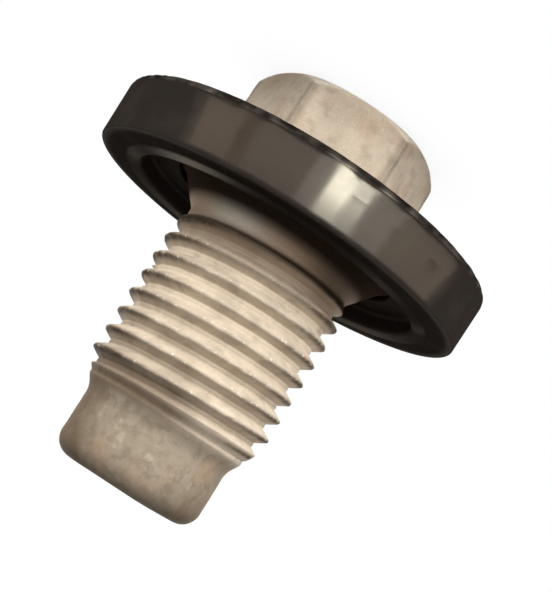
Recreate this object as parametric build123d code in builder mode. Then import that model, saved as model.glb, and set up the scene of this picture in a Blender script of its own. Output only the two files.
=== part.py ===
"""Oil drain plug: a cold-forged steel plug with a rolled thread, and the rubber seal on its flange.

The plug stands on the end face of its hexagon. The origin is the centre of that face, +Z runs
along the thread axis towards the pilot point, and two flats of the hexagon face -Y and +Y.
Sizes are in millimetres. Heights are measured from the end face of the hexagon.
"""

from build123d import *
import math
import os

# Hexagon, for a 13 mm wrench
HEX_ACROSS_FLATS = 12.9
HEX_HEIGHT = 6.9
HEX_EDGE_RADIUS = 0.25
HEX_FOOT_RADIUS = 0.3
HEX_END_LAND = 0.38
HEX_CHAMFER_DEG = 30.0

# Rolled thread, M14 x 1.5, right-hand. The run-out is at the collar, the lead-in at the pilot point,
# and its helix starts on the +X side, this far behind the foot of the collar
THREAD_DIAMETER = 13.8
THREAD_PITCH = 1.5
THREAD_LENGTH = 12.75
RUNOUT_LENGTH = 1.9
LEAD_IN_DEG = 32.0
START_BEHIND_FOOT = 1.8

# Plain shank and conical collar between the thread and the flange. The shank is as thick as the
# blank that the thread is rolled on, so it lies this far under the crests
SHANK_STEP = 0.5
SHANK_LENGTH = 0.45
COLLAR_FLARE = 2.05
COLLAR_HEIGHT = 2.5
COLLAR_FOOT_RADIUS = 0.9

# Washer flange around the collar, which the seal grips
FLANGE_WIDTH = 4.15
FLANGE_THICKNESS = 2.0
FLANGE_RIM_CHAMFER = 0.3

# Neck and pilot point. A bare stretch of root is left between the thread and the neck, and the point
# lies a step under that root
BARE_ROOT_LENGTH = 0.2
NECK_LENGTH = 0.9
NECK_FILLET = 1.6
PILOT_STEP = 0.55
PILOT_LENGTH = 4.65
PILOT_END_RADIUS = 1.35

# Seal ring, a C section around the rim of the flange. The draft widens it towards the hexagon
SEAL_WALL = 1.8
SEAL_DRAFT = 0.16
SEAL_HEAD_LIP = 0.55
SEAL_HEAD_GRIP = 2.2
SEAL_FLOOR_THICKNESS = 0.5
SEAL_FACE_HEIGHT = 1.2
SEAL_LIP_GAP = 0.25
SEAL_BACK_EDGE_RADIUS = 0.5
SEAL_FACE_EDGE_RADIUS = 0.15
SEAL_FIT = 0.03

# Sealing bead on the face of the seal, and the pocket inside it
FACE_LAND_WIDTH = 2.0
BEAD_WIDTH = 1.25
BEAD_HEIGHT = 0.25
POCKET_DRAFT = 0.2
POCKET_CORNER_RADIUS = 0.35

# Metric thread form: 60 degree flanks, an eighth of the full height short of a point at the crest
# and a quarter short at the root
flank_slope = math.tan(math.radians(30))
full_height = THREAD_PITCH / 2 / flank_slope
thread_depth = full_height * 5 / 8
crest_width = THREAD_PITCH / 8
root_width = THREAD_PITCH / 4

# Radii
hex_inner_radius = HEX_ACROSS_FLATS / 2
hex_corner_radius = hex_inner_radius / math.cos(math.radians(30))
end_land_radius = hex_inner_radius - HEX_END_LAND
crest_radius = THREAD_DIAMETER / 2
root_radius = crest_radius - thread_depth
shank_radius = crest_radius - SHANK_STEP
collar_radius = shank_radius + COLLAR_FLARE
flange_radius = collar_radius + FLANGE_WIDTH
pilot_radius = root_radius - PILOT_STEP

# Heights along the plug
flange_top = HEX_HEIGHT + FLANGE_THICKNESS
collar_foot = flange_top + COLLAR_HEIGHT
shank_end = collar_foot + SHANK_LENGTH
root_start = shank_end + RUNOUT_LENGTH / 4
thread_end = shank_end + THREAD_LENGTH
neck_start = thread_end + BARE_ROOT_LENGTH
neck_end = neck_start + NECK_LENGTH
pilot_end = neck_end + PILOT_LENGTH

# The thread is a helical ridge. Its foot lies under the root, so that it grows out of the shank,
# and it starts inside the collar and ends beside the neck, past the cones that trim both its ends
ridge_sink = root_width / 4 / flank_slope
ridge_radius = root_radius - ridge_sink
ridge_half_foot = crest_width / 2 + (thread_depth + ridge_sink) * flank_slope
ridge_start = collar_foot - START_BEHIND_FOOT
ridge_end = neck_end + ridge_half_foot
turn_count = math.ceil((ridge_end - ridge_start) / THREAD_PITCH)
ridge_clear_radius = crest_radius + thread_depth
lead_in_slope = math.tan(math.radians(LEAD_IN_DEG))
runout_slope = (crest_radius - shank_radius) / RUNOUT_LENGTH

# One turn of the ridge
with BuildPart() as thread_turn:
    with BuildLine():
        Helix(THREAD_PITCH, THREAD_PITCH, ridge_radius, center=(0, 0, ridge_start))
    with BuildSketch(Plane.XZ):
        with BuildLine():
            Polyline(
                (ridge_radius, ridge_start - ridge_half_foot),
                (crest_radius, ridge_start - crest_width / 2),
                (crest_radius, ridge_start + crest_width / 2),
                (ridge_radius, ridge_start + ridge_half_foot),
                close=True,
            )
        make_face()
    sweep(is_frenet=True)

# The whole ridge: each turn ends where the next one starts
with BuildPart() as thread_ridge:
    with Locations(*[(0, 0, turn * THREAD_PITCH) for turn in range(turn_count)]):
        add(thread_turn.part)

    # Run-out: the crests rise from the shank to their full height
    with BuildSketch(Plane.XZ):
        with BuildLine():
            Polyline(
                (0, collar_foot),
                (shank_radius, collar_foot),
                (
                    ridge_clear_radius,
                    collar_foot + (ridge_clear_radius - shank_radius) / runout_slope,
                ),
                (ridge_clear_radius, ridge_start - THREAD_PITCH),
                (0, ridge_start - THREAD_PITCH),
                close=True,
            )
        make_face()
    revolve(axis=Axis.Z, mode=Mode.SUBTRACT)

    # Lead-in: the crests sink along a cone that meets the root where the thread ends
    with BuildSketch(Plane.XZ):
        with BuildLine():
            Polyline(
                (0, thread_end + root_radius / lead_in_slope),
                (ridge_clear_radius, thread_end - (ridge_clear_radius - root_radius) / lead_in_slope),
                (ridge_clear_radius, thread_end + root_radius / lead_in_slope),
                close=True,
            )
        make_face()
    revolve(axis=Axis.Z, mode=Mode.SUBTRACT)

# The plug, forged and rolled as one piece
with BuildPart() as plug_body:
    # Hexagon with rounded corners, and the cone that its end corners are turned to
    with BuildSketch(Plane.XY):
        RegularPolygon(hex_inner_radius, 6, major_radius=False)
    extrude(amount=HEX_HEIGHT)
    fillet(plug_body.edges().filter_by(Axis.Z), HEX_EDGE_RADIUS)
    cone_rise = (hex_corner_radius - end_land_radius) * math.tan(math.radians(HEX_CHAMFER_DEG))
    with BuildSketch(Plane.XZ):
        with BuildLine():
            Polyline(
                (0, 0),
                (end_land_radius, 0),
                (hex_corner_radius, cone_rise),
                (hex_corner_radius, HEX_HEIGHT),
                (0, HEX_HEIGHT),
                close=True,
            )
        make_face()
    revolve(axis=Axis.Z, mode=Mode.INTERSECT)

    # Flange, collar, shank, neck and pilot point, turned about the axis
    collar_turn = math.atan2(COLLAR_FLARE, COLLAR_HEIGHT)
    collar_foot_limit = 0.9 * SHANK_LENGTH / math.tan(collar_turn / 2)
    with BuildSketch(Plane.XZ):
        with BuildLine():
            outline = FilletPolyline(
                (0, HEX_HEIGHT),
                (flange_radius - FLANGE_RIM_CHAMFER, HEX_HEIGHT),
                (flange_radius, HEX_HEIGHT + FLANGE_RIM_CHAMFER),
                (flange_radius, flange_top - FLANGE_RIM_CHAMFER),
                (flange_radius - FLANGE_RIM_CHAMFER, flange_top),
                (collar_radius, flange_top),
                (shank_radius, collar_foot),
                (shank_radius, shank_end),
                (root_radius, root_start),
                (root_radius, neck_start),
                (pilot_radius, neck_end),
                (pilot_radius, pilot_end),
                (0, pilot_end),
                radius=(
                    0,
                    0,
                    0,
                    0,
                    0,
                    min(COLLAR_FOOT_RADIUS, collar_foot_limit),
                    0,
                    0,
                    0,
                    NECK_FILLET,
                    PILOT_END_RADIUS,
                ),
            )
            Line(outline @ 1, outline @ 0)
        make_face()
    revolve(axis=Axis.Z)
    hex_foot = plug_body.edges().filter_by_position(Axis.Z, HEX_HEIGHT, HEX_HEIGHT)
    fillet(hex_foot.sort_by(SortBy.LENGTH)[:12], HEX_FOOT_RADIUS)
    add(thread_ridge.part)

# Heights and radii of the seal, taken from the flange that it grips
seal_back = HEX_HEIGHT - SEAL_HEAD_LIP
seal_floor = flange_top + SEAL_FLOOR_THICKNESS
seal_face = seal_floor + SEAL_FACE_HEIGHT
seal_radius = flange_radius + SEAL_WALL
head_opening_radius = flange_radius - SEAL_HEAD_GRIP
lip_radius = collar_radius + SEAL_LIP_GAP
bead_outer_radius = seal_radius - FACE_LAND_WIDTH
bead_inner_radius = bead_outer_radius - BEAD_WIDTH
bead_middle_radius = (bead_inner_radius + bead_outer_radius) / 2
groove_radius = flange_radius + SEAL_FIT
groove_back = HEX_HEIGHT - SEAL_FIT
groove_face = flange_top + SEAL_FIT

# The seal ring, moulded in one piece
with BuildPart() as seal_ring:
    with BuildSketch(Plane.XZ):
        with BuildLine():
            wall = FilletPolyline(
                (bead_outer_radius, seal_face),
                (seal_radius, seal_face),
                (seal_radius + SEAL_DRAFT, seal_back),
                (head_opening_radius, seal_back),
                (head_opening_radius, groove_back),
                (groove_radius, groove_back),
                (groove_radius, groove_face),
                (lip_radius, groove_face),
                (lip_radius, seal_floor),
                (bead_inner_radius - POCKET_DRAFT, seal_floor),
                (bead_inner_radius, seal_face),
                radius=(
                    SEAL_FACE_EDGE_RADIUS,
                    SEAL_BACK_EDGE_RADIUS,
                    0,
                    0,
                    0,
                    0,
                    0,
                    0,
                    POCKET_CORNER_RADIUS,
                ),
            )
            ThreePointArc(wall @ 1, (bead_middle_radius, seal_face + BEAD_HEIGHT), wall @ 0)
        make_face()
    revolve(axis=Axis.Z)

plug_body.part.label = "plug_body"
seal_ring.part.label = "seal_ring"

os.makedirs("parts", exist_ok=True)
export_step(plug_body.part, "parts/plug_body.step")
export_step(seal_ring.part, "parts/seal_ring.step")
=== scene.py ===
"""Oil drain plug with a rolled thread and a rubber seal ring on its flange.

The plug stands on the end face of its hexagon with the pilot point up. The origin is the centre of
that face, +Z runs along the thread, and the camera looks at the -Y side. Lengths are in metres
unless a name says otherwise.
"""

import logging
import math
from dataclasses import dataclass, field, replace
from enum import Enum

import bpy
import numpy as np
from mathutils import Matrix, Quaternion, Vector

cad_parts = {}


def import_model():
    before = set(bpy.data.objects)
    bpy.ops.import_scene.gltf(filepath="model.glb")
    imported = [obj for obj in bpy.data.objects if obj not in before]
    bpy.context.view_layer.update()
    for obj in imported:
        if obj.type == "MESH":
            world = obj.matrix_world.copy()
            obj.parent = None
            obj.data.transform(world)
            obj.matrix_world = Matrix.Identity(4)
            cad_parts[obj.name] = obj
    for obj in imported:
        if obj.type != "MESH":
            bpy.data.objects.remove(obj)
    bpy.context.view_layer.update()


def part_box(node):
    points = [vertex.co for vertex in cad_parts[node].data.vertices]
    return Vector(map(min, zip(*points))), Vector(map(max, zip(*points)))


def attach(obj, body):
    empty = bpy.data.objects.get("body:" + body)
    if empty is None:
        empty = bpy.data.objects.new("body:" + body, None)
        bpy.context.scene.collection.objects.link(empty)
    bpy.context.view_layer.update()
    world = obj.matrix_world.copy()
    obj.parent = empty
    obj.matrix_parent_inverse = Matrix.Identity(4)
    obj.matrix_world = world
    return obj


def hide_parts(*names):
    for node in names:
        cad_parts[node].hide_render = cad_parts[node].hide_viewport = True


LOG = logging.getLogger("drain_plug")
MM = 0.001
TURN = 2 * math.pi

Colour = tuple[float, float, float, float]
Fields = dict[str, np.ndarray]
Rings = tuple[np.ndarray, np.ndarray]
Socket = bpy.types.NodeSocket


class Slot(Enum):
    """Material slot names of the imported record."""

    STEEL = "plated_steel"
    RUBBER = "seal_rubber"


def soft_min(a: np.ndarray, b: np.ndarray | float, blend: float) -> np.ndarray:
    """Return the lower of two fields, rounded over `blend` where they cross."""
    return 0.5 * (a + b - np.sqrt((a - b) ** 2 + blend**2))


def soft_max(a: np.ndarray, b: np.ndarray | float, blend: float) -> np.ndarray:
    """Return the higher of two fields, rounded over `blend` where they cross."""
    return -soft_min(-a, -b, blend)


def ease(value: np.ndarray, low: float, high: float) -> np.ndarray:
    """Return 0 under `low`, 1 over `high`, and a smooth rise between them."""
    share = np.clip((value - low) / (high - low), 0, 1)
    return share * share * (3 - 2 * share)


def bump_at(distance: np.ndarray, width: float | np.ndarray) -> np.ndarray:
    """Return a bell curve that is 1 at no distance and falls off over `width`."""
    return np.exp(-((distance / width) ** 2))


def turned(points: np.ndarray, angles: np.ndarray) -> Rings:
    """Return an outline's points turned about the axis: radius and height, a row for each point."""
    return points[:, :1] * np.ones_like(angles), points[:, 1:] * np.ones_like(angles)


@dataclass(frozen=True)
class Corner:
    """A corner of a turned outline: its radius, its height and how it is rounded."""

    radius: float
    height: float
    rounding: float = 0.0


class Outline:
    """A turned outline with rounded corners, sampled into points of radius and height."""

    ARC_STEP_DEG = 9

    def __init__(self, corners: list[Corner], spacing: float) -> None:
        """Sample the outline.

        Args:
            corners: The corners in order. The first and the last are its ends.
            spacing: The longest step between two points on a straight run.
        """
        self.spacing = spacing
        self.points = self._sample(corners)

    def _sample(self, corners: list[Corner]) -> np.ndarray:
        """Return the outline's points, with arcs at the rounded corners.

        Args:
            corners: The corners in order.

        Returns:
            An array of shape (points, 2).
        """
        places = [np.array([corner.radius, corner.height]) for corner in corners]
        pieces = [places[0][None, :]]
        for index in range(1, len(corners)):
            rounding = corners[index].rounding
            if rounding > 0 and index < len(corners) - 1:
                piece = self._arc(places[index - 1], places[index], places[index + 1], rounding)
            else:
                piece = places[index][None, :]
            pieces += [self._run(pieces[-1][-1], piece[0]), piece]
        return np.vstack(pieces)

    def _run(self, start: np.ndarray, end: np.ndarray) -> np.ndarray:
        """Return the points of a straight run, without its ends.

        Args:
            start: One end.
            end: The other end.

        Returns:
            An array of shape (points, 2), empty on a short run.
        """
        steps = max(1, math.ceil(float(np.linalg.norm(end - start)) / self.spacing))
        shares = np.arange(1, steps)[:, None] / steps
        return start + (end - start) * shares

    def _arc(
        self, before: np.ndarray, place: np.ndarray, after: np.ndarray, rounding: float
    ) -> np.ndarray:
        """Return the points of the arc that rounds one corner.

        Args:
            before: The corner before.
            place: The corner itself.
            after: The corner after.
            rounding: The radius of the arc.

        Returns:
            An array of shape (points, 2), ends included.
        """
        back = (before - place) / np.linalg.norm(before - place)
        ahead = (after - place) / np.linalg.norm(after - place)
        half = math.acos(float(np.clip(back @ ahead, -1, 1))) / 2
        reach = rounding / math.tan(half)
        middle = back + ahead
        centre = place + middle / np.linalg.norm(middle) * rounding / math.sin(half)
        x, y = place + back * reach - centre
        last_x, last_y = place + ahead * reach - centre
        sweep = math.pi - 2 * half
        steps = max(3, math.ceil(math.degrees(sweep) / self.ARC_STEP_DEG))
        sign = 1 if x * last_y - y * last_x > 0 else -1
        angles = sign * sweep * np.arange(steps + 1) / steps
        cos, sin = np.cos(angles), np.sin(angles)
        return centre + np.stack([x * cos - y * sin, x * sin + y * cos], axis=1)


@dataclass(frozen=True)
class WaveNoise:
    """Smooth noise made of cosine waves in random directions, the same in each run."""

    seed: int
    wavelength: float
    waves: int = 28
    stretch: tuple[float, float] = (0.6, 1.7)

    def at(self, points: np.ndarray) -> np.ndarray:
        """Return the noise at each point, with a spread of about 1.

        Args:
            points: Places, with the coordinates in the last axis.

        Returns:
            An array of the same shape without its last axis.
        """
        rng = np.random.default_rng(self.seed)
        total = np.zeros(points.shape[:-1])
        for _ in range(self.waves):
            direction = rng.normal(size=3)
            direction /= np.linalg.norm(direction)
            frequency = rng.uniform(*self.stretch) * TURN / self.wavelength
            total += np.cos(points @ direction * frequency + rng.uniform(0, TURN))
        return total * math.sqrt(2 / self.waves)


@dataclass
class RingSkin:
    """A closed mesh made of rings of points around the Z axis.

    Radius and height hold a row for each ring, and angles holds the angle of each column.
    """

    name: str
    radius: np.ndarray
    height: np.ndarray
    angles: np.ndarray

    def points(self) -> np.ndarray:
        """Return the places of the points, in the layout of the rings."""
        cos, sin = np.cos(self.angles), np.sin(self.angles)
        return np.stack([self.radius * cos, self.radius * sin, self.height], axis=2)

    def angle_grid(self) -> np.ndarray:
        """Return the angle of each point, in the layout of the rings."""
        return np.repeat(self.angles[None, :], len(self.radius), axis=0)

    def _quads(self, looped: bool) -> list[list[int]]:
        """Return the faces between each ring and the next.

        Args:
            looped: Whether the last ring joins the first.

        Returns:
            The numbers of each face's points.
        """
        rings, columns = self.radius.shape
        near = np.arange(rings if looped else rings - 1)
        ring = near[:, None] * columns
        ring_after = ((near + 1) % rings)[:, None] * columns
        column = np.arange(columns)[None, :]
        column_after = (column + 1) % columns
        corners = [
            ring + column, ring + column_after, ring_after + column_after, ring_after + column
        ]
        return np.stack(corners, axis=2).reshape(-1, 4).tolist()

    def _fans(self) -> list[list[int]]:
        """Return the faces that close both ends, around two points that follow all the rings.

        Returns:
            The numbers of each face's points.
        """
        rings, columns = self.radius.shape
        first, last, top = rings * columns, rings * columns + 1, (rings - 1) * columns
        faces: list[list[int]] = []
        for index in range(columns):
            after = (index + 1) % columns
            faces += [[first, after, index], [last, top + index, top + after]]
        return faces

    def build(self, looped: bool, fields: Fields) -> bpy.types.Object:
        """Make the mesh object.

        Args:
            looped: Whether the last ring joins the first, as on a hollow ring. Otherwise both ends
                are closed with a fan.
            fields: Named values for each point, kept as attributes of the mesh.

        Returns:
            The new object, linked to the scene.
        """
        places = self.points().reshape(-1, 3)
        faces = self._quads(looped)
        values = {key: value.reshape(-1) for key, value in fields.items()}
        if not looped:
            faces += self._fans()
            poles = [(0.0, 0.0, float(row.mean())) for row in (self.height[0], self.height[-1])]
            places = np.vstack([places, poles])
            values = {key: np.append(value, value[[0, -1]]) for key, value in values.items()}
        mesh = bpy.data.meshes.new(self.name)
        mesh.from_pydata(places.tolist(), [], faces)
        mesh.polygons.foreach_set("use_smooth", np.ones(len(faces), dtype=bool))
        for key, value in values.items():
            attribute = mesh.attributes.new(key, "FLOAT", "POINT")
            attribute.data.foreach_set("value", value.astype(np.float32))
        mesh.validate()
        mesh.update()
        obj = bpy.data.objects.new(self.name, mesh)
        bpy.context.scene.collection.objects.link(obj)
        return obj


@dataclass(frozen=True)
class Mottle:
    """A noise pattern: its scale in cycles for each millimetre, and where and how far it rises."""

    scale: float
    detail: float
    low: float
    high: float
    strength: float = 1.0


class NodeBench:
    """Short calls that add and join the nodes of one material or world."""

    def __init__(self, owner: bpy.types.Material | bpy.types.World) -> None:
        """Start with no nodes.

        Args:
            owner: The new material or world.
        """
        self.owner = owner
        self.owner.use_nodes = True
        self.tree = self.owner.node_tree
        self.tree.nodes.clear()

    def node(
        self, kind: str, inputs: dict[str | int, object] | None = None, **settings: object
    ) -> bpy.types.Node:
        """Add a node.

        Args:
            kind: The node's type, without the words that all types start with.
            inputs: Values or output sockets for its inputs, by input name or number.
            **settings: Properties of the node.

        Returns:
            The node.
        """
        made = self.tree.nodes.new(f"ShaderNode{kind}")
        for key, value in settings.items():
            setattr(made, key, value)
        for key, value in (inputs or {}).items():
            socket = made.inputs[key]
            if isinstance(value, Socket):
                self.tree.links.new(value, socket)
            else:
                socket.default_value = value
        return made

    def millimetres(self) -> Socket:
        """Return the object's own coordinates, in millimetres."""
        place = self.node("TexCoord").outputs["Object"]
        return self.node("VectorMath", {0: place, 3: 1 / MM}, operation="SCALE").outputs[0]

    def stretched(self, place: Socket, scale: tuple[float, float, float]) -> Socket:
        """Return a place scaled along each axis."""
        return self.node("VectorMath", {0: place, 1: scale}, operation="MULTIPLY").outputs[0]

    def noise(self, place: Socket, scale: float, detail: float = 3.0) -> Socket:
        """Return noise of that scale, in cycles for each millimetre."""
        return self.node(
            "TexNoise", {"Vector": place, "Scale": scale, "Detail": detail}
        ).outputs["Fac"]

    def mottled(self, place: Socket, mottle: Mottle) -> Socket:
        """Return a noise pattern."""
        noise = self.noise(place, mottle.scale, mottle.detail)
        return self.ramp(noise, mottle.low, mottle.high, 0.0, mottle.strength)

    def ramp(self, factor: Socket, low: float, high: float, start: float, end: float) -> Socket:
        """Remap a value, smooth at both ends.

        Args:
            factor: The value.
            low: Where the rise starts.
            high: Where the rise ends.
            start: The result at `low` and under it.
            end: The result at `high` and over it.

        Returns:
            The remapped value.
        """
        ends = {"From Min": low, "From Max": high, "To Min": start, "To Max": end}
        made = self.node("MapRange", {"Value": factor, **ends}, interpolation_type="SMOOTHSTEP")
        return made.outputs["Result"]

    def calculate(self, operation: str, a: Socket, b: object) -> Socket:
        """Return the result of a sum on two values."""
        return self.node("Math", {0: a, 1: b}, operation=operation).outputs[0]

    def multiply(self, a: Socket, b: object) -> Socket:
        """Return the product of two values."""
        return self.calculate("MULTIPLY", a, b)

    def mix(self, factor: object, a: object, b: object) -> Socket:
        """Return colour `a` turned into colour `b` by the factor."""
        return self.node("Mix", {0: factor, 6: a, 7: b}, data_type="RGBA").outputs[2]

    def mix_shaders(self, factor: object, a: bpy.types.Node, b: bpy.types.Node) -> Socket:
        """Return shader `a` turned into shader `b` by the factor."""
        return self.node("MixShader", {0: factor, 1: a.outputs[0], 2: b.outputs[0]}).outputs[0]

    def bumped(self, height: Socket, strength: float, distance: float) -> Socket:
        """Return the normal of a surface with that relief."""
        relief = {"Height": height, "Strength": strength, "Distance": distance}
        return self.node("Bump", relief).outputs["Normal"]

    def attribute(self, name: str) -> Socket:
        """Return a named value of the mesh."""
        return self.node("Attribute", attribute_name=name).outputs["Fac"]

    def finish(self, shader: Socket) -> bpy.types.Material | bpy.types.World:
        """Join the shader to the output and return the material or world."""
        self.node(f"Output{type(self.owner).__name__}", {"Surface": shader})
        return self.owner


@dataclass(frozen=True)
class PlatedSteel:
    """Matte zinc plating over forged and rolled steel, mottled and stained, with bright flecks,
    painted shade and painted highlights.
    """

    light: Colour = (0.72, 0.635, 0.525, 1)
    dark: Colour = (0.44, 0.37, 0.30, 1)
    grey: Colour = (0.28, 0.24, 0.185, 1)
    blush: Colour = (0.56, 0.39, 0.28, 1)
    # Brown for stains and the fine grain, and also for painted shade.
    stain: Colour = (0.13, 0.095, 0.065, 1)
    # Near-black painted shade.
    grime: Colour = (0.035, 0.022, 0.015, 1)
    # Bright flecks, and painted highlights in the same colour.
    fleck: Colour = (0.95, 0.90, 0.80, 1)
    clouds: Mottle = Mottle(0.45, 4.0, 0.36, 0.64, 0.42)
    mottle: Mottle = Mottle(0.8, 5.0, 0.50, 0.66, 0.30)
    patches: Mottle = Mottle(1.3, 3.0, 0.40, 0.70)
    scuffs: Mottle = Mottle(0.9, 6.0, 0.56, 0.68, 0.30)
    sparkles: Mottle = Mottle(3.4, 3.5, 0.58, 0.72, 0.75)
    grain_scale: float = 9.0
    pitting_scale: float = 2.2
    relief: float = 0.03 * MM
    metallic: float = 0.04
    roughness: tuple[float, float] = (0.5, 0.72)
    specular: float = 0.06

    def _colour(self, bench: NodeBench, place: Socket, grain: Socket) -> Socket:
        """Return the colour of the plating.

        Args:
            bench: The material's nodes.
            place: The coordinates in millimetres.
            grain: The finest noise.

        Returns:
            The colour, from the mesh's barrel, blush, painted_highlight, stain, grime and crest.
        """
        squat = bench.stretched(place, (1.0, 1.0, 1.2))
        barrel = bench.attribute("barrel")
        patch = bench.ramp(bench.mottled(place, self.patches), 0.0, 1.0, 0.75, 1.0)
        scuff = bench.multiply(barrel, bench.mottled(place, self.scuffs))
        fleck = bench.multiply(bench.mottled(place, self.sparkles), bench.attribute("crest"))
        colour = bench.mix(bench.mottled(place, self.clouds), self.light, self.dark)
        for share, over in (
            (bench.mottled(squat, self.mottle), self.grey),
            (bench.multiply(barrel, patch), self.grey),
            (scuff, self.light),
            (bench.attribute("blush"), self.blush),
            # Painted highlight on the end chamfer and at the collar's painted light spot.
            (bench.attribute("painted_highlight"), self.fleck),
            # Stains and painted shade.
            (bench.attribute("stain"), self.stain),
            # Painted shade under the seal, in the first groove and on the side crests.
            (bench.attribute("grime"), self.grime),
            (bench.ramp(grain, 0.30, 0.75, 0.16, 0.0), self.stain),
            (fleck, self.fleck),
        ):
            colour = bench.mix(share, colour, over)
        return colour

    def material(self) -> bpy.types.Material:
        """Build the shader.

        Returns:
            The plating as a material.
        """
        bench = NodeBench(bpy.data.materials.new("zinc_plating"))
        place = bench.millimetres()
        grain = bench.noise(place, self.grain_scale)
        pitting = bench.multiply(bench.noise(place, self.pitting_scale), 1.2)
        bumps = bench.calculate("ADD", bench.multiply(grain, 0.5), pitting)
        inputs = {
            "Base Color": self._colour(bench, place, grain),
            "Metallic": self.metallic,
            "Roughness": bench.ramp(grain, 0.2, 0.8, *self.roughness),
            # The painted shade also takes away the specular.
            "Specular IOR Level": bench.ramp(
                bench.attribute("grime"), 0.0, 1.0, self.specular, 0.0
            ),
            "Normal": bench.bumped(bumps, 0.5, self.relief),
        }
        return bench.finish(bench.node("BsdfPrincipled", inputs).outputs["BSDF"])


class RubberFinish(Enum):
    """The two finishes of the seal: its wiped outer wall and its dull moulded faces."""

    GLOSS = "seal_gloss"
    DULL = "seal_dull"


@dataclass(frozen=True)
class Rubber:
    """Black nitrile rubber. It shines the same from each side, as under a thin bloom."""

    finish: RubberFinish
    base: Colour = (0.008, 0.006, 0.005, 1)
    worn: Colour = (0.014, 0.011, 0.009, 1)
    shine: Colour = (1.0, 0.88, 0.76, 1)
    smudges: Mottle = Mottle(0.5, 3.0, 0.4, 0.75)
    grain_scale: float = 6.0
    relief: float = 0.02 * MM
    gloss_share: float = 0.020
    dull_share: float = 0.006
    sheen_share: float = 0.10
    gloss_roughness: tuple[float, float] = (0.13, 0.17)
    dull_roughness: tuple[float, float] = (0.35, 0.5)

    def material(self) -> bpy.types.Material:
        """Build the shader.

        Returns:
            The rubber as a material, glossy, or dull with the mesh's sheen.
        """
        bench = NodeBench(bpy.data.materials.new(self.finish.value))
        place = bench.millimetres()
        smudge = bench.mottled(place, self.smudges)
        grain = bench.noise(place, self.grain_scale)
        if self.finish is RubberFinish.GLOSS:
            share, strength = self.gloss_share, 0.03
            roughness = bench.ramp(smudge, 0.0, 1.0, *self.gloss_roughness)
        else:
            sheen = bench.multiply(bench.attribute("sheen"), self.sheen_share)
            share, strength = bench.calculate("ADD", sheen, self.dull_share), 0.4
            roughness = bench.ramp(grain, 0.2, 0.8, *self.dull_roughness)
        normal = bench.bumped(grain, strength, self.relief)
        colour = bench.mix(smudge, self.base, self.worn)
        matte = {"Base Color": colour, "Roughness": 0.9, "Specular IOR Level": 0.0}
        body = bench.node("BsdfPrincipled", {**matte, "Normal": normal})
        gloss = {"Color": self.shine, "Roughness": roughness, "Normal": normal}
        return bench.finish(bench.mix_shaders(share, body, bench.node("BsdfGlossy", gloss)))


@dataclass
class Hexagon:
    """The wrench hexagon, with rounded corners and an end that is turned to a cone."""

    across_flats: float = 12.9 * MM
    height: float = 6.9 * MM
    edge_rounding: float = 0.0775 * MM
    foot_rounding: float = 0.3 * MM
    end_land: float = 6.07 * MM
    end_rounding: float = 0.3 * MM
    end_bulge: float = 0.5
    chamfer_deg: float = 30.0
    columns_per_side: int = 40
    crowding: float = 0.8
    end_shares: tuple[float, ...] = (0.25, 0.5, 0.75, 0.9, 0.97)
    cone_height: float = 1.0 * MM
    cone_rows: int = 30
    side_rows: int = 14
    foot_rows: int = 7

    @property
    def corner_radius(self) -> float:
        """Return the radius of the corners before they are rounded."""
        return self.across_flats / 2 / math.cos(TURN / 12)

    def angles(self) -> np.ndarray:
        """Space the columns around the plug.

        Returns:
            Their angles, closer together beside the six corners.
        """
        share = np.arange(self.columns_per_side) / self.columns_per_side
        inside = share - self.crowding * np.sin(TURN * share) / TURN
        return np.concatenate([(side + inside) * TURN / 6 for side in range(6)])

    def outline(self, angles: np.ndarray) -> np.ndarray:
        """Draw the rounded hexagon.

        Args:
            angles: Angles about the axis.

        Returns:
            Its radius at each angle.
        """
        off = np.abs((angles % (TURN / 6)) - TURN / 12)
        own = self.across_flats / 2 / np.cos(off)
        neighbour = self.across_flats / 2 / np.cos(TURN / 6 - off)
        return soft_min(own, neighbour, self.edge_rounding)

    def rings(self, angles: np.ndarray) -> Rings:
        """Return the rings of the head, from the middle of its end to its foot.

        Args:
            angles: The angles of the columns.

        Returns:
            Radius and height of each point.
        """
        sides = self.outline(angles)
        rise = 1 / math.tan(math.radians(self.chamfer_deg))
        reach = self.corner_radius - self.end_land
        edge = soft_min(sides, self.end_land, self.end_rounding)
        radii = [edge * share for share in self.end_shares]
        levels = [0.0] * len(radii)
        low = np.linspace(0.0, self.cone_height, self.cone_rows)
        high = np.linspace(self.cone_height, self.height - self.foot_rounding, self.side_rows)
        for level in np.concatenate([low, high[1:]]):
            share = min(level * rise / reach, 1.0)
            bulge = self.end_bulge * reach * (math.sqrt(1 - (1 - share) ** 2) - share)
            radii.append(soft_min(sides, self.end_land + level * rise + bulge, self.end_rounding))
            levels.append(level)
        for turn in np.linspace(0, math.pi / 2, self.foot_rows)[1:]:
            radii.append(sides + self.foot_rounding * (1 - math.cos(turn)))
            levels.append(self.height - self.foot_rounding * (1 - math.sin(turn)))
        return np.array(radii), np.array(levels)[:, None] * np.ones_like(sides)


@dataclass(frozen=True)
class Nick:
    """A small lump or dent on the thread."""

    angle_deg: float
    height: float
    depth: float
    width: float = 0.25 * MM
    length: float = 0.4 * MM


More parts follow.
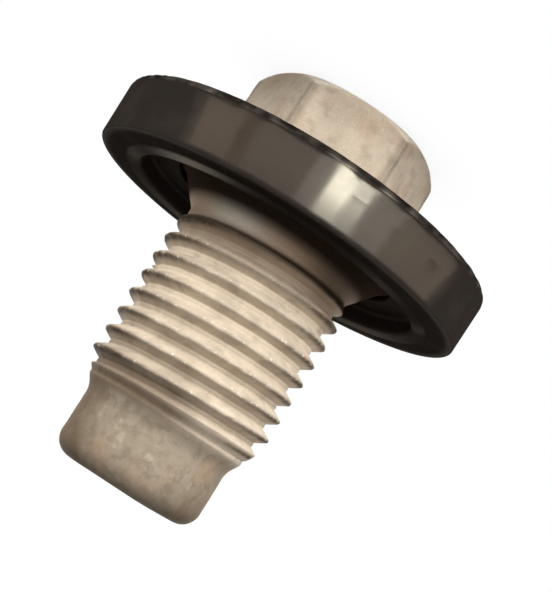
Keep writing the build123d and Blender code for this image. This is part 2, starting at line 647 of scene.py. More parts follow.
@dataclass
class RolledThread:
    """The rolled thread: a metric form with rounded crests and roots, a run-out and a lead-in."""

    crest_radius: float = 6.9 * MM
    pitch: float = 1.5 * MM
    start: float = 12.325 * MM
    end: float = 24.6 * MM
    bare_root: float = 0.2 * MM
    crest_on_x: float = 9.6 * MM
    runout_foot: float = 11.4 * MM
    runout_slope: float = 0.5 / 1.9
    shank_radius: float = 6.4 * MM
    shank_end: float = 11.85 * MM
    lead_in_deg: float = 32.0
    crest_rounding: float = 0.09 * MM
    root_rounding: float = 0.16 * MM
    runout_rounding: float = 0.05 * MM
    lead_in_rounding: float = 0.08 * MM
    first_row: float = 11.45 * MM
    rows_per_pitch: int = 26
    nicks: tuple[Nick, ...] = (
        Nick(angle_deg=-4, height=16.35 * MM, depth=0.42 * MM, width=0.16 * MM, length=0.5 * MM),
        Nick(angle_deg=-3, height=17.95 * MM, depth=0.22 * MM, width=0.14 * MM, length=0.3 * MM),
        Nick(angle_deg=-62, height=17.2 * MM, depth=-0.10 * MM),
        Nick(angle_deg=-118, height=20.6 * MM, depth=-0.08 * MM),
        Nick(angle_deg=-84, height=21.7 * MM, depth=-0.09 * MM),
    )

    @property
    def depth(self) -> float:
        """Return the depth from crest to root."""
        return self.pitch * math.cos(math.radians(30)) * 5 / 8

    @property
    def root_radius(self) -> float:
        """Return the radius at the root."""
        return self.crest_radius - self.depth

    @property
    def neck(self) -> float:
        """Return the height where the bare root ends and the neck starts."""
        return self.end + self.bare_root

    def rows(self) -> np.ndarray:
        """Return the heights of the rows that carry the thread."""
        count = math.ceil((self.neck - self.first_row) / self.pitch * self.rows_per_pitch)
        return np.linspace(self.first_row, self.neck, count)

    def phase(self, height: np.ndarray, angles: np.ndarray) -> np.ndarray:
        """Return how far each point is from the nearest crest along the axis, towards the tip."""
        turns = (height - self.crest_on_x) / self.pitch - angles / TURN
        return (turns - np.round(turns)) * self.pitch

    def radii(self, height: np.ndarray, angles: np.ndarray) -> np.ndarray:
        """Return the radius of the threaded shank.

        Args:
            height: Height of each point.
            angles: Angle of each point.

        Returns:
            The radius of each point.
        """
        flank = self.pitch / 16 - np.abs(self.phase(height, angles))
        flank = self.crest_radius + flank / math.tan(math.radians(30))
        form = soft_min(flank, self.crest_radius, self.crest_rounding)
        runout = self.shank_radius + self.runout_slope * (height - self.runout_foot)
        lead_in = math.tan(math.radians(self.lead_in_deg)) * (self.end - height)
        form = soft_min(form, runout, self.runout_rounding)
        form = soft_min(form, self.root_radius + lead_in, self.lead_in_rounding)
        share = np.clip((height - self.shank_end) / (self.start - self.shank_end), 0, 1)
        core = self.shank_radius + (self.root_radius - self.shank_radius) * share
        fillet = 0.5 * self.root_rounding * bump_at(form - core, self.root_rounding)
        return soft_max(form, core, self.root_rounding) - fillet

    def nicked(self, height: np.ndarray, angles: np.ndarray) -> np.ndarray:
        """Return how far the nicks lift or sink each point.

        Args:
            height: Height of each point.
            angles: Angle of each point.

        Returns:
            The change of each point's radius.
        """
        total = np.zeros_like(height)
        for nick in self.nicks:
            turn = (angles - math.radians(nick.angle_deg) + math.pi) % TURN - math.pi
            around = bump_at(turn * self.crest_radius, nick.length)
            total += nick.depth * around * bump_at(height - nick.height, nick.width)
        return total


@dataclass(frozen=True)
class Wear:
    """Where the marks on the plating are, and where shade and highlights are painted on it. A pair
    of values says where one fades in or out.
    """

    x_side: tuple[float, float] = (-0.3, 0.3)
    # The sides as seen from the front, where shade is painted on crests and the pilot point; it
    # fades out towards the back.
    side_deg: tuple[float, float] = (20, 72)
    back_deg: tuple[float, float] = (115, 160)
    thread_start: float = 1.0 * MM
    thread_end: float = 0.5 * MM
    crest_offset: float = 0.10 * MM
    crest_width: float = 0.16 * MM
    crest_spread: float = 0.04 * MM
    crest_foot: float = 0.625
    fleck_offset: float = -0.03 * MM
    root_width: float = 0.18 * MM
    stained_roots: tuple[float, float] = (17.5 * MM, 20.5 * MM)
    first_turn: tuple[float, float] = (12.6 * MM, 14.2 * MM)
    # Where painted shade from the seal fades off the first crests.
    first_crests: tuple[float, float] = (13.2 * MM, 15.2 * MM)
    last_turn_width: float = 2.2 * MM
    last_turn_side: tuple[float, float] = (-0.6, 0.2)
    neck_width: float = 0.8 * MM
    barrel: float = 0.8 * MM
    end_face: tuple[float, float] = (2.5 * MM, 4.6 * MM)
    # Where the painted shade along the pilot's rounded end starts and ends, below the tip.
    end_edge: tuple[float, float] = (3.2 * MM, 0.3 * MM)
    # Where the painted pool of light on the collar sits and how wide it is.
    bright_spot_deg: float = 300
    bright_spot_width_deg: float = 22
    collar_end: float = 0.9 * MM
    shaded_collar: tuple[float, float] = (0.1, 0.7)
    # Where the painted shade under the seal fades out up the collar.
    collar_grime: tuple[float, float] = (10.35 * MM, 11.15 * MM)
    # The first groove, where shade is painted.
    groove_height: float = 12.0 * MM
    groove_reach: float = 0.6 * MM
    groove_offset: float = -0.12 * MM
    groove_width: float = 0.28 * MM
    # How far the painted shade along the hexagon's corners reaches in.
    head_edge: tuple[float, float] = (0.32 * MM, 0.10 * MM)
    # The end chamfer, which takes a painted highlight.
    chamfer_height: float = 1.05 * MM
    chamfer: tuple[float, float] = (0.04 * MM, 0.16 * MM)
    blotch_scale: float = 1.4
    blotch_level: float = 0.6


@dataclass(frozen=True)
class WearStrength:
    """How strong each mark on the plating is, and each painted shade and highlight. A pair is its
    least and what its worst place adds.
    """

    # Crest darkening: worn plating everywhere, with painted shade added at the sides.
    crest_stain: tuple[float, float] = (0.12, 0.88)
    # Painted shade on the first crests by the seal.
    first_crests: float = 0.5
    root_stain: tuple[float, float] = (0.18, 0.32)
    # Painted shade at the sides of the pilot point, deeper on the +X side.
    barrel_stain: tuple[float, float] = (0.47, 0.38)
    # Light staining on the collar, with painted shade on its side away from +X.
    collar_stain: tuple[float, float] = (0.04, 0.75)
    # Painted shade along the pilot's rounded end; the next value is its share on the flat end.
    end_edge: float = 0.50
    end_face_share: float = 0.3
    # Painted shade along the hexagon's corners.
    head_edge: float = 0.40
    last_turn: float = 0.75
    neck: float = 0.25
    last_turn_on_barrel: float = 0.1
    # Cap on stains and painted shade together.
    most_stain: float = 0.9
    head_flecks: float = 0.22
    first_turn_blush: float = 0.45
    collar_blush: float = 0.85
    # Blush left at the collar's painted light spot.
    bright_spot_blush: float = 0.30
    barrel_blotch: float = 0.35
    head_blotch: float = 0.40
    # How strong the painted shade on the side crests is, and how noise breaks it up.
    crest_grime: float = 0.8
    broken_grime: tuple[float, float] = (0.65, 0.3)
    # How strong the painted light spot on the collar is.
    bright_spot: float = 0.7


class PlatingMap:
    """How worn, stained and flecked the plating is at each point of the clean plug, and where shade
    and highlights are painted on it.

    The zones are 1 inside and fade to 0 outside. The front is the side that faces the camera.
    """

    def __init__(self, plug: "PlugBody", skin: RingSkin) -> None:
        """Work out the zones.

        Args:
            plug: The plug's sizes.
            skin: The clean rings.
        """
        wear, thread, hexagon = plug.wear, plug.thread, plug.hexagon
        self.plug = plug
        self.skin = skin
        self.height = skin.height
        self.angle = skin.angle_grid()
        self.phase = thread.phase(self.height, self.angle)
        # Sides as seen from the camera's front, for painted shade.
        off_front = np.degrees(np.abs((self.angle + 1.5 * math.pi) % TURN - math.pi))
        self.sides = ease(off_front, *wear.side_deg) * (1 - ease(off_front, *wear.back_deg))
        # The +X side: wider worn crests, and deeper painted shade on the pilot point.
        self.on_x_side = ease(np.cos(self.angle), *wear.x_side)
        # A painted pool of light on the collar.
        self.bright_spot = bump_at(
            np.degrees(self.angle) - wear.bright_spot_deg, wear.bright_spot_width_deg
        )
        from_foot = np.clip((self.height - thread.runout_foot) / wear.thread_start, 0, 1)
        to_neck = np.clip((thread.neck - self.height) / wear.thread_end, 0, 1)
        self.on_thread = from_foot * to_neck
        spread = wear.crest_spread * self.on_x_side
        self.worn = self.on_thread * bump_at(
            self.phase - wear.crest_offset - spread, wear.crest_width + spread
        )
        self.barrel = ease(self.height, thread.end, thread.end + wear.barrel)
        self.off_end = ease(skin.radius, *wear.end_face)
        self.on_collar = self.height > plug.flange_top - plug.margin
        foot = thread.runout_foot
        self.collar = self.on_collar * (1 - ease(self.height, foot, foot + wear.collar_end))
        self.on_head = self.height < hexagon.height
        sides = hexagon.outline(self.angle)
        corner = hexagon.corner_radius
        # The hexagon's corners, for painted shade.
        self.head_edge = self.on_head * ease(sides, *(corner - off for off in wear.head_edge))
        # The end chamfer, for the painted highlight.
        on_end = self.height < wear.chamfer_height
        self.chamfer = on_end * ease(sides - skin.radius, *wear.chamfer)

    def _crest(self) -> np.ndarray:
        """Work out how much the bright flecks show.

        Returns:
            The share of each point, highest on the crests and low on the head.
        """
        thread, wear = self.plug.thread, self.plug.wear
        lifted = np.clip((self.skin.radius - thread.root_radius) / thread.depth, 0, 1)
        foot = wear.crest_foot
        crest = self.on_thread * np.clip((lifted - foot) / (1 - foot), 0, 1)
        lit = bump_at(self.phase - wear.fleck_offset, wear.crest_width)
        return crest * lit + self.plug.strength.head_flecks * self.on_head

    def _blush(self) -> np.ndarray:
        """Work out how reddish the plating is.

        Returns:
            The share of each point: at the first turn, at the collar and in blotches.
        """
        wear, strength = self.plug.wear, self.plug.strength
        blotch = self.plug.forging.at(self.skin.points() * wear.blotch_scale)
        blotch = np.clip(blotch - wear.blotch_level, 0, 1)
        first_turn = self.on_thread * (1 - ease(self.height, *wear.first_turn))
        # Less blush at the collar's painted light spot.
        bright = strength.collar_blush - strength.bright_spot_blush
        collar = (strength.collar_blush - bright * self.bright_spot) * self.collar
        blotched = strength.barrel_blotch * self.barrel + strength.head_blotch * self.on_head
        blush = strength.first_turn_blush * first_turn + collar + blotched * blotch
        return np.clip(blush, 0, 1)

    def _thread_stain(self) -> np.ndarray:
        """Work out the thread's stains and painted shade.

        Returns:
            The share of each point: on the worn crests, with painted shade on the crests at the
                sides and on the first crests by the seal, in the roots and around the last turn.
        """
        thread, wear, strength = self.plug.thread, self.plug.wear, self.plug.strength
        # Worn crests, darker by painted shade at the sides and on the first crests by the seal.
        least, at_sides = strength.crest_stain
        first_crests = strength.first_crests * (1 - ease(self.height, *wear.first_crests))
        crests = self.worn * (least + at_sides * self.sides + first_crests)
        least, towards_tip = strength.root_stain
        roots = self.on_thread * bump_at(np.abs(self.phase) - thread.pitch / 2, wear.root_width)
        roots = roots * (least + towards_tip * ease(self.height, *wear.stained_roots))
        off_neck = self.height - thread.neck
        last_turn = strength.last_turn * bump_at(off_neck, wear.last_turn_width)
        last_turn = last_turn * ease(np.cos(self.angle), *wear.last_turn_side)
        last_turn = last_turn + strength.neck * bump_at(off_neck, wear.neck_width)
        return crests + roots + last_turn * (1 - self.barrel * (1 - strength.last_turn_on_barrel))

    def _smooth_stain(self) -> np.ndarray:
        """Work out the painted shade and the stains on the smooth surfaces.

        Returns:
            The share of each point: painted shade at the sides of the pilot point, on the collar's
                shaded side, along the pilot's rounded end and along the hexagon's corners, and
                light staining on the collar.
        """
        wear, strength, length = self.plug.wear, self.plug.strength, self.plug.length
        # Painted shade at the sides of the pilot point, deeper on the +X side.
        least, on_x_side = strength.barrel_stain
        barrel = self.barrel * self.sides * self.off_end * (least + on_x_side * self.on_x_side)
        # Painted shade on the collar's -X side, over light staining all round.
        least, shaded = strength.collar_stain
        collar = self.collar * (least + shaded * ease(-np.cos(self.angle), *wear.shaded_collar))
        # No collar shade or staining at the painted light spot.
        collar = collar * (1 - self.bright_spot)
        # Painted shade along the pilot's rounded end, lighter on its flat end.
        on_face = strength.end_face_share
        end_edge = ease(self.height, *(length - below for below in wear.end_edge))
        end_edge = end_edge * (on_face + (1 - on_face) * self.off_end)
        # Painted shade along the hexagon's corners, kept off the end chamfer.
        head_edge = self.head_edge * (1 - self.chamfer)
        return barrel + collar + strength.end_edge * end_edge + strength.head_edge * head_edge

    def _grime(self) -> np.ndarray:
        """Work out where shade is painted on the plug.

        Returns:
            The share of each point: painted shade under the seal at the collar, in the first groove
                and on the crests at the sides.
        """
        wear, strength = self.plug.wear, self.plug.strength
        # Painted shade under the seal's rim.
        collar = self.on_collar * (1 - ease(self.height, *wear.collar_grime))
        # Painted shade in the first groove, between the collar and the thread.
        groove = bump_at(self.phase - wear.groove_offset, wear.groove_width)
        groove = groove * bump_at(self.height - wear.groove_height, wear.groove_reach)
        level, spread = strength.broken_grime
        broken = np.clip(level + spread * self.plug.crest_burr.at(self.skin.points()), 0, 1)
        # Painted shade on the worn crests at the sides.
        crests = strength.crest_grime * self.worn * self.sides * broken
        return np.clip(collar + groove + crests, 0, 1)

    def fields(self) -> Fields:
        """Work out the values that the plating reads.

        Returns:
            The value of each point, by name.
        """
        strength = self.plug.strength
        # Painted light spot on the collar.
        bright = strength.bright_spot * self.bright_spot * self.collar
        # Stains plus painted shade.
        stain = self._thread_stain() + self._smooth_stain()
        return {
            "crest": self._crest(),
            # Painted highlight: the end chamfer and the collar's painted light spot.
            "painted_highlight": np.clip(self.chamfer + bright, 0, 1),
            "stain": np.clip(stain, 0, strength.most_stain),
            "grime": self._grime(),
            "barrel": self.barrel,
            "blush": self._blush(),
        }


@dataclass
class PlugBody:
    """The plug: hexagon, washer flange, collar, threaded shank and pilot point in one piece."""

    length: float
    hexagon: Hexagon = field(default_factory=Hexagon)
    thread: RolledThread = field(default_factory=RolledThread)
    wear: Wear = Wear()
    strength: WearStrength = WearStrength()
    flange_radius: float = 12.6 * MM
    flange_top: float = 8.9 * MM
    flange_rim: float = 0.3 * MM
    flange_back_shares: tuple[float, ...] = (0.15, 0.35, 0.6, 0.85)
    collar_radius: float = 8.45 * MM
    collar_edge_rounding: float = 0.12 * MM
    collar_foot_rounding: float = 0.9 * MM
    neck_length: float = 0.9 * MM
    neck_rounding: float = 1.6 * MM
    pilot_radius: float = 5.538 * MM
    pilot_end_rounding: float = 1.35 * MM
    pilot_end_hole: float = 0.4 * MM
    flange_spacing: float = 0.25 * MM
    pilot_spacing: float = 0.16 * MM
    margin: float = 0.01 * MM
    clean_end: float = 0.3 * MM
    seal_grip: float = 1.0 * MM
    mark_depth: float = 0.012 * MM
    peening_depth: float = 0.006 * MM
    burr_depth: float = 0.030 * MM
    forging: WaveNoise = WaveNoise(seed=7, wavelength=4.2 * MM)
    peening: WaveNoise = WaveNoise(seed=19, wavelength=1.1 * MM)
    crest_burr: WaveNoise = WaveNoise(seed=31, wavelength=0.75 * MM)

    def _flange_rings(self, angles: np.ndarray) -> Rings:
        """Return the rings from the hexagon's foot over the flange and the collar to the shank.

        Args:
            angles: The angles of the columns.

        Returns:
            Radius and height of each point.
        """
        start = self.hexagon.outline(angles) + self.hexagon.foot_rounding
        inner_rim = self.flange_radius - self.flange_rim
        back = np.array([start + (inner_rim - start) * part for part in self.flange_back_shares])
        corners = [
            Corner(inner_rim, self.hexagon.height),
            Corner(self.flange_radius, self.hexagon.height + self.flange_rim),
            Corner(self.flange_radius, self.flange_top - self.flange_rim),
            Corner(inner_rim, self.flange_top),
            Corner(self.collar_radius, self.flange_top, self.collar_edge_rounding),
            Corner(self.thread.shank_radius, self.thread.runout_foot, self.collar_foot_rounding),
            Corner(self.thread.shank_radius, self.thread.shank_end),
        ]
        points = Outline(corners, self.flange_spacing).points
        radii, heights = turned(points[points[:, 1] < self.thread.first_row], angles)
        back_height = np.full_like(back, self.hexagon.height)
        return np.vstack([back, radii]), np.vstack([back_height, heights])

    def _pilot_rings(self, angles: np.ndarray) -> Rings:
        """Return the rings of the neck, the pilot point and its end face.

        Args:
            angles: The angles of the columns.

        Returns:
            Radius and height of each point.
        """
        neck = self.thread.neck
        corners = [
            Corner(self.thread.root_radius, neck),
            Corner(self.pilot_radius, neck + self.neck_length, self.neck_rounding),
            Corner(self.pilot_radius, self.length, self.pilot_end_rounding),
            Corner(self.pilot_end_hole, self.length),
        ]
        return turned(Outline(corners, self.pilot_spacing).points[1:], angles)

    def _skin(self) -> tuple[RingSkin, Fields]:
        """Work out the plug's surface.

        Returns:
            The rings, and the values that the plating reads.
        """
        angles = self.hexagon.angles()
        level, angle = np.meshgrid(self.thread.rows(), angles, indexing="ij")
        rings = (
            self.hexagon.rings(angles),
            self._flange_rings(angles),
            (self.thread.radii(level, angle), level),
            self._pilot_rings(angles),
        )
        radius, height = (np.vstack(part) for part in zip(*rings))
        skin = RingSkin("plug_body_skin", radius, height, angles)
        fields = PlatingMap(self, skin).fields()
        self._weather(skin, fields["crest"])
        return skin, fields

    def _weather(self, skin: RingSkin, crest: np.ndarray) -> None:
        """Press the forging marks, burrs and nicks into the surface.

        Args:
            skin: The rings, which are changed.
            crest: How near each point is to a crest.
        """
        points = skin.points()
        forged = self.forging.at(points)
        gripped = self.flange_radius - self.seal_grip
        on_body = (skin.height > self.clean_end) & (skin.radius < gripped)
        on_end = skin.height > self.length - 2 * self.margin
        marks = self.mark_depth * (forged - 1.6) + self.peening_depth * self.peening.at(points)
        burr = self.burr_depth * crest * (self.crest_burr.at(points) - 1.0)
        change = np.minimum(marks, 0) + np.minimum(burr, 0)
        skin.radius += np.where(on_body & ~on_end, change, 0)
        skin.radius += np.where(on_body, self.thread.nicked(skin.height, skin.angle_grid()), 0)
        skin.height += np.where(on_end, self.mark_depth * np.minimum(forged - 1.0, 0), 0)

    def build(self) -> bpy.types.Object:
        """Build and dress the plug, in place of its plain node.

        Returns:
            The piece.
        """
        skin, fields = self._skin()
        piece = skin.build(looped=False, fields=fields)
        piece.data.materials.append(PlatedSteel().material())
        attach(piece, "root")
        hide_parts("plug_body")
        return piece


@dataclass(frozen=True)
class Spot:
    """A place around the ring, how far it reaches and how strongly it shows."""

    middle_deg: float
    width_deg: float
    share: float = 1.0

    def at(self, angles_deg: np.ndarray) -> np.ndarray:
        """Return how strongly the spot shows at each angle."""
        off = (angles_deg - self.middle_deg + 180) % 360 - 180
        return self.share * bump_at(off, self.width_deg)


@dataclass
class SealRing:
    """The moulded rubber seal around the rim of the flange."""

    face_radius: float = 14.4 * MM
    draft: float = 0.16 * MM
    back: float = 6.35 * MM
    floor: float = 9.4 * MM
    face: float = 10.6 * MM
    head_opening: float = 10.4 * MM
    lip_radius: float = 8.7 * MM
    bead_inner: float = 11.15 * MM
    bead_outer: float = 12.4 * MM
    bead_height: float = 0.25 * MM
    bead_points: int = 12
    groove_radius: float = 12.63 * MM
    groove_back: float = 6.87 * MM
    groove_face: float = 8.93 * MM
    pocket_draft: float = 0.2 * MM
    pocket_rounding: float = 0.35 * MM
    back_edge_rounding: float = 0.5 * MM
    edge_rounding: float = 0.15 * MM
    spacing: float = 0.2 * MM
    columns: int = 300
    wall_margin: float = 0.3 * MM
    dull_strip: float = 0.58 * MM
    dark_bead: float = 0.02
    edge_sheen: float = 0.30
    strip_sheen: tuple[float, float] = (0.22, 0.2)
    trim_reach: tuple[float, float] = (0.1 * MM, 0.6 * MM)
    trim_depth: float = 0.03 * MM
    trimmed_edge: WaveNoise = WaveNoise(seed=57, wavelength=1.3 * MM)
    dark_spot: Spot = Spot(270, 18)
    pressed_spots: tuple[Spot, ...] = (
        Spot(-126, 8, 0.12),
        Spot(-52, 15, 0.9),
        Spot(-160, 5, 0.15),
        Spot(-14, 10, 0.2),
        Spot(60, 30, 0.3),
        Spot(140, 25, 0.3),
    )

    def _outline(self) -> np.ndarray:
        """Return the closed section of the ring.

        Returns:
            An array of shape (points, 2), from the bead over the pocket, the groove and the wall.
        """
        corners = [
            Corner(self.bead_outer, self.face),
            Corner(self.face_radius, self.face, self.edge_rounding),
            Corner(self.face_radius + self.draft, self.back, self.back_edge_rounding),
            Corner(self.head_opening, self.back, self.edge_rounding),
            Corner(self.head_opening, self.groove_back),
            Corner(self.groove_radius, self.groove_back),
            Corner(self.groove_radius, self.groove_face),
            Corner(self.lip_radius, self.groove_face),
            Corner(self.lip_radius, self.floor, self.edge_rounding),
            Corner(self.bead_inner - self.pocket_draft, self.floor, self.pocket_rounding),
            Corner(self.bead_inner, self.face),
        ]
        share = np.linspace(0, 1, self.bead_points + 2)[1:-1]
        across = self.bead_inner + (self.bead_outer - self.bead_inner) * share
        dome = self.face + self.bead_height * np.sin(math.pi * share) ** 0.8
        bead = np.stack([across, dome], axis=1)
        return np.vstack([Outline(corners, self.spacing).points, bead])[::-1]

    def _on_wall(self, skin: RingSkin) -> np.ndarray:
        """Return whether each point is on the outer wall."""
        return skin.radius > self.face_radius - self.wall_margin

    def _trim(self, skin: RingSkin) -> None:
        """Roughen the wall's back edge, where the flash was trimmed off.

        Args:
            skin: The rings, which are changed.
        """
        near, far = self.trim_reach
        share = np.clip((self.back + far - skin.height) / (far - near), 0, 1)
        cuts = np.minimum(self.trimmed_edge.at(skin.points()) - 0.8, 0)
        skin.radius += np.where(self._on_wall(skin), self.trim_depth * share * cuts, 0)

    def _sheen(self, skin: RingSkin) -> np.ndarray:
        """Return how much each point shines where the seal was pressed, handled or trimmed.

        Args:
            skin: The seal's rings.

        Returns:
            The value of each point.
        """
        angles = np.degrees(skin.angle_grid())
        pressed = self.dark_bead * (1 - self.dark_spot.at(angles))
        pressed += sum(spot.at(angles) for spot in self.pressed_spots)
        on_bead = ease(skin.height, self.face + 0.02 * MM, self.face + 0.12 * MM)
        on_face = skin.height > self.face - 0.1 * MM
        edge = on_face * ease(skin.radius, self.face_radius - 0.8 * MM, self.face_radius)
        strip = 1 - ease(skin.height, self.back + 0.6 * MM, self.back + 0.8 * MM)
        level, spread = self.strip_sheen
        worn = self._on_wall(skin) * (level + spread * self.trimmed_edge.at(skin.points()))
        return np.clip(on_bead * pressed + self.edge_sheen * edge + strip * worn, 0, 1)

    def _share_out_finishes(self, piece: bpy.types.Object, outline: np.ndarray) -> None:
        """Give the outer wall the glossy finish.

        Args:
            piece: The seal's mesh object.
            outline: The section that the mesh was turned from.
        """
        radius, height = ((outline + np.roll(outline, -1, axis=0)) / 2).T
        wall = (radius > self.face_radius - 0.1 * MM) & (height > self.back + self.dull_strip)
        glossy = np.repeat(wall.astype(np.int32), self.columns)
        piece.data.polygons.foreach_set("material_index", glossy)

    def build(self) -> bpy.types.Object:
        """Build and dress the seal, in place of its plain node.

        Returns:
            The piece.
        """
        outline = self._outline()
        angles = np.arange(self.columns) * TURN / self.columns
        skin = RingSkin("seal_ring_skin", *turned(outline, angles), angles)
        self._trim(skin)
        piece = skin.build(looped=True, fields={"sheen": self._sheen(skin)})
        for finish in (RubberFinish.DULL, RubberFinish.GLOSS):
            piece.data.materials.append(Rubber(finish).material())
        self._share_out_finishes(piece, outline)
        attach(piece, "root")
        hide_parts("seal_ring")
        return piece


class Reach(Enum):
    """The rays that see a lamp: whether matte surfaces and whether glossy ones do."""

    MATTE = (True, False)
    GLOSS = (False, True)


@dataclass(frozen=True)
class Lamp:
    """An area lamp around the plug.

    Its turn is measured from the camera's side towards -X. Without a tilt it faces the plug's axis,
    and with a tilt of 90 degrees it lies flat and faces straight up.
    """

    name: str
    turn_deg: float
    distance: float
    height: float
    width: float
    depth: float
    radiance: tuple[float, float, float]
    tilt_deg: float = 0.0
    reach: Reach = Reach.MATTE

    def build(self) -> None:
        """Hang the lamp."""
        turn = math.radians(self.turn_deg)
        brightest = max(self.radiance)
        light = bpy.data.lights.new(self.name, "AREA")
        light.shape = "RECTANGLE"
        light.size = self.width
        light.size_y = self.depth
        light.energy = brightest * math.pi * self.width * self.depth
        light.color = tuple(part / brightest for part in self.radiance)
        lamp = bpy.data.objects.new(self.name, light)
        side, ahead = self.distance * math.sin(turn), self.distance * math.cos(turn)
        lamp.location = (-side, -ahead, self.height)
        lamp.rotation_euler = (math.radians(90 + self.tilt_deg), 0, -turn)
        lamp.visible_camera = False
        lamp.visible_diffuse, lamp.visible_glossy = self.reach.value
        bpy.context.scene.collection.objects.link(lamp)


@dataclass(frozen=True)
class LampRow:
    """Copies of one lamp at some turns, each with its share of the radiance."""

    pattern: Lamp
    turns: tuple[tuple[float, float], ...]

    def lamps(self) -> list[Lamp]:
        """Return the copies.

        Returns:
            The lamps, in the order of their turns.
        """
        copies = []
        for turn, share in self.turns:
            radiance = tuple(share * part for part in self.pattern.radiance)
            name = f"{self.pattern.name}_{turn}"
            copies.append(replace(self.pattern, name=name, turn_deg=turn, radiance=radiance))
        return copies


@dataclass(frozen=True)
class FloorBand:
    """A curved band of light just above the floor, made of flat lamps that face straight up.

    Its ends are turns from the camera's side towards -X, and its edges are distances from the axis.
    """

    name: str
    start_deg: float
    end_deg: float
    radiance: tuple[float, float, float]
    near: float = 42 * MM
    far: float = 84 * MM
    reach: Reach = Reach.GLOSS
    widest_deg: float = 4.0
    height: float = 0.3 * MM

    def lamps(self) -> list[Lamp]:
        """Return the band's lamps, side by side.

        Returns:
            The lamps, from the start to the end.
        """
        count = math.ceil((self.end_deg - self.start_deg) / self.widest_deg)
        step = (self.end_deg - self.start_deg) / count
        middle = (self.near + self.far) / 2
        piece = Lamp(
            name=self.name,
            turn_deg=0.0,
            distance=middle,
            height=self.height,
            width=2 * middle * math.tan(math.radians(step) / 2),
            depth=self.far - self.near,
            radiance=self.radiance,
            tilt_deg=90.0,
            reach=self.reach,
        )
        return [
            replace(piece, name=f"{self.name}_{index}", turn_deg=self.start_deg + turn * step)
            for index, turn in enumerate(np.arange(count) + 0.5)
        ]


def thread_band(
    name: str, start_deg: float, end_deg: float, radiance: tuple[float, float, float]
) -> FloorBand:
    """Return a band that lights the matte surfaces, near the plug and in wide pieces."""
    return FloorBand(name, start_deg, end_deg, radiance, 36 * MM, 54 * MM, Reach.MATTE, 30)


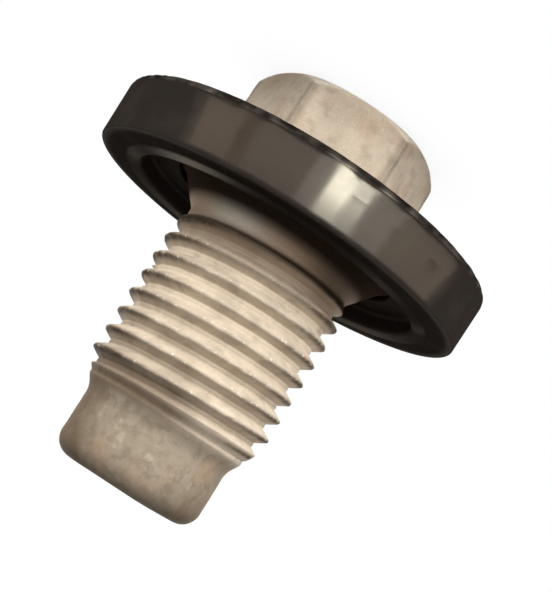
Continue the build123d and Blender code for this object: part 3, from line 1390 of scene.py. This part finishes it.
@dataclass
class Studio:
    """White floor and surroundings, with the lamps low around the camera's side."""

    floor_reach: float = 3.0
    floor_tone: Colour = (0.8, 0.8, 0.8, 1)
    white: Colour = (1, 1, 1, 1)
    shadow_tone: float = 0.93
    shadow_reach: float = 6 * MM
    surround: Colour = (1.0, 0.93, 0.85, 1)
    surround_strength: float = 0.10
    thread_bands: tuple[FloorBand, ...] = (
        thread_band("thread_left", -105, -45, (9.3, 8.8, 8.1)),
        thread_band("thread_light", -45, 45, (10.5, 10.0, 9.4)),
        thread_band("thread_right", 45, 105, (10.9, 10.4, 9.8)),
    )
    mirrored_bands: tuple[FloorBand, ...] = (
        FloorBand("left_fringe", -70, -64, (1.1, 1.0, 0.8)),
        FloorBand("left_band", -64, -42.5, (3.9, 3.4, 2.9)),
        FloorBand("left_gap", -42.5, -35, (2.2, 1.8, 1.4)),
        FloorBand("left_plateau", -35, -5, (3.5, 3.2, 2.9)),
        FloorBand("window_side", -5, 5, (6.6, 6.7, 6.4)),
        FloorBand("window_pane", 5, 15.5, (76.0, 80.0, 72.0), far=63 * MM),
        FloorBand("window_sill", 5, 15.5, (13.0, 13.8, 13.0), near=63 * MM),
        FloorBand("window_edge", 15.5, 25, (52.0, 54.0, 50.0), far=60 * MM),
        FloorBand("window_corner", 15.5, 25, (12.0, 12.8, 12.2), near=60 * MM),
        FloorBand("glow", 25, 33, (6.2, 6.3, 6.0)),
        FloorBand("glow_fringe", 33, 42.5, (6.6, 6.6, 6.3)),
        FloorBand("right_plateau", 42.5, 54, (4.1, 3.8, 3.3)),
        FloorBand("right_band", 54, 82, (3.7, 3.3, 2.9)),
        FloorBand("right_fringe", 82, 88, (0.5, 0.4, 0.4)),
    )
    top_light: Lamp = Lamp(
        "top_light", 0, 0, 150 * MM, 150 * MM, 150 * MM, (0.5, 0.48, 0.45), tilt_deg=-90.0
    )
    crest_lights: LampRow = LampRow(
        Lamp("crest_light", 0, 80 * MM, 7 * MM, 42 * MM, 8 * MM, (4.5, 4.3, 4.0)),
        ((-90, 0.3), (-60, 0.6), (-30, 1.2), (0, 1.5), (30, 0.8), (60, 0.4)),
    )
    hex_lights: LampRow = LampRow(
        Lamp("hex_light", 0, 14.5 * MM, 0.8 * MM, 12 * MM, 1.2 * MM, (6.4, 6.1, 5.8)),
        ((0, 1.0), (60, 0.35)),
    )
    back_lights: LampRow = LampRow(
        Lamp("back_light", 0, 120 * MM, 50 * MM, 110 * MM, 60 * MM, (2.6, 2.5, 2.3)),
        ((-155, 1.0), (180, 1.0), (155, 1.0)),
    )

    def _lamps(self) -> list[Lamp]:
        """Gather all lamps.

        Returns:
            The bands on the floor, the top light and the rows.
        """
        lamps = [lamp for band in self.thread_bands + self.mirrored_bands for lamp in band.lamps()]
        lamps.append(self.top_light)
        for row in (self.crest_lights, self.hex_lights, self.back_lights):
            lamps += row.lamps()
        return lamps

    def _seen(self, bench: NodeBench) -> Socket:
        """Tell the rays that show the surroundings from those that light the plug.

        Args:
            bench: The nodes of the floor or the world.

        Returns:
            1 for camera, glossy and transmission rays, and 0 for the others.
        """
        path = bench.node("LightPath").outputs
        seen = bench.calculate("MAXIMUM", path["Is Camera Ray"], path["Is Glossy Ray"])
        return bench.calculate("MAXIMUM", seen, path["Is Transmission Ray"])

    def _floor(self) -> None:
        """Lay the floor: white where it is seen, with the plug's soft contact shadow."""
        bench = NodeBench(bpy.data.materials.new("white_floor"))
        matte = bench.node("BsdfDiffuse", {"Color": self.floor_tone})
        shadow = bench.node("AmbientOcclusion", {"Distance": self.shadow_reach}, samples=16)
        tone = bench.ramp(shadow.outputs["AO"], 0.2, 1.0, self.shadow_tone, 1.0)
        glow = bench.node("Emission", {"Color": self.white, "Strength": tone})
        reach = self.floor_reach
        corners = [(-reach, -reach, 0), (reach, -reach, 0), (reach, reach, 0), (-reach, reach, 0)]
        mesh = bpy.data.meshes.new("floor")
        mesh.from_pydata(corners, [], [(0, 1, 2, 3)])
        mesh.materials.append(bench.finish(bench.mix_shaders(self._seen(bench), matte, glow)))
        floor = bpy.data.objects.new("floor", mesh)
        bpy.context.scene.collection.objects.link(floor)

    def _world(self) -> None:
        """Surround the scene: white where it is seen, dim for the light that it gives."""
        bench = NodeBench(bpy.data.worlds.new("surround"))
        dim, white = (
            bench.node("Background", {"Color": colour, "Strength": strength})
            for colour, strength in (
                (self.surround, self.surround_strength),
                (self.white, 1.0),
            )
        )
        shader = bench.mix_shaders(self._seen(bench), dim, white)
        bpy.context.scene.world = bench.finish(shader)

    def build(self) -> None:
        """Set up the floor, the surroundings and the lamps."""
        self._floor()
        self._world()
        for lamp in self._lamps():
            lamp.build()
        bpy.context.scene.view_settings.view_transform = "Standard"


@dataclass(frozen=True)
class PhotoCamera:
    """The photograph's camera: close to the plug, a little above it and almost upside down."""

    distance: float = 85 * MM
    height: float = 27.318 * MM
    turn_deg: float = -1.306
    tilt_deg: float = -9.293
    roll_deg: float = -147.62
    focal_pixels: float = 1226.3
    long_side_pixels: int = 592
    sensor: float = 36.0
    nearest: float = 1 * MM
    farthest: float = 20.0

    def build(self) -> None:
        """Set up the camera and make it the scene's own."""
        data = bpy.data.cameras.new("photo_camera")
        data.sensor_width = self.sensor
        data.lens = self.focal_pixels / self.long_side_pixels * self.sensor
        data.clip_start = self.nearest
        data.clip_end = self.farthest
        camera = bpy.data.objects.new("photo_camera", data)
        turn, tilt = math.radians(self.turn_deg), math.radians(self.tilt_deg)
        level_reach = math.cos(tilt)
        ahead = Vector((math.sin(turn) * level_reach, math.cos(turn) * level_reach, math.sin(tilt)))
        level = ahead.to_track_quat("-Z", "Y")
        camera.location = (0, -self.distance, self.height)
        camera.rotation_mode = "QUATERNION"
        camera.rotation_quaternion = level @ Quaternion((0, 0, 1), math.radians(self.roll_deg))
        bpy.context.scene.collection.objects.link(camera)
        bpy.context.scene.camera = camera


def report(piece: bpy.types.Object) -> None:
    """Log the size of one piece.

    Args:
        piece: The finished mesh object.
    """
    triangles = sum(len(face.vertices) - 2 for face in piece.data.polygons)
    size = ", ".join(f"{value / MM:.2f}" for value in piece.dimensions)
    LOG.info("%s: %s mm, %d triangles", piece.name, size, triangles)


def main() -> None:
    """Build the drain plug around its frame and light it."""
    logging.basicConfig(level=logging.INFO, format="%(name)s: %(message)s")
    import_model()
    plug_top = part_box("plug_body")[1].z
    PhotoCamera().build()
    pieces = [PlugBody(length=plug_top).build(), SealRing().build()]
    Studio().build()
    for piece in pieces:
        report(piece)


if __name__ == "__main__":
    main()
